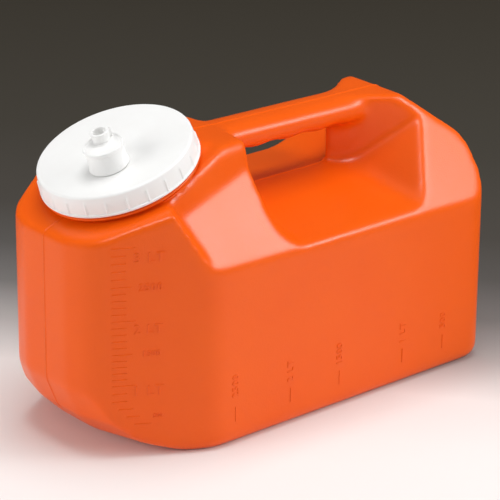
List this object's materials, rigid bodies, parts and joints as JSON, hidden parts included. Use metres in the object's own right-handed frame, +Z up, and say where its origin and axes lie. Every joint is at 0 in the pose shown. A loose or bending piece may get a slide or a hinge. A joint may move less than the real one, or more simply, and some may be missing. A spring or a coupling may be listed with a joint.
{
  "type": "urine collection bottle",
  "caption": "Blow-moulded jug with a through-handle, grip pockets and a tilted wide neck, closed by a ribbed screw cap with a plugged pour spout.",
  "frame": {"origin": "centre of the overall box, on the plane that the base stands on", "axes": "+X from the neck end to the rear, +Y across the width, +Z up"},
  "size_m": [0.2499, 0.125, 0.1626],
  "materials": {
    "bottle_plastic": "glossy blow-moulded polyethylene with a fine grain",
    "cap_plastic": "satin moulded polypropylene",
    "liner_foam": "matt polyethylene foam"
  },
  "bodies": {
    "bottle": {"bottle_body": "bottle_plastic"},
    "liner": {"cap_liner": "liner_foam"},
    "cap": {"screw_cap": "cap_plastic", "pour_spout": "cap_plastic"},
    "closure": {"spout_closure": "cap_plastic"}
  },
  "joints": [
    {"name": "cap_lift", "type": "slide", "parent": "bottle", "child": "liner", "axis": [-0.342, 0, 0.9397], "range_m": [0, 0.0217]},
    {"name": "cap_turn", "type": "hinge", "parent": "liner", "child": "cap", "pos_m": [-0.0755, 0, 0.1324], "axis": [-0.342, 0, 0.9397], "range_deg": [0, 2160]},
    {"name": "closure_pull", "type": "slide", "parent": "cap", "child": "closure", "axis": [-0.342, 0, 0.9397], "range_m": [0, 0.02]}
  ],
  "couplings": [
    {"joint": "cap_lift", "follows": "cap_turn", "m_per_rad": 0.00057296}
  ]
}
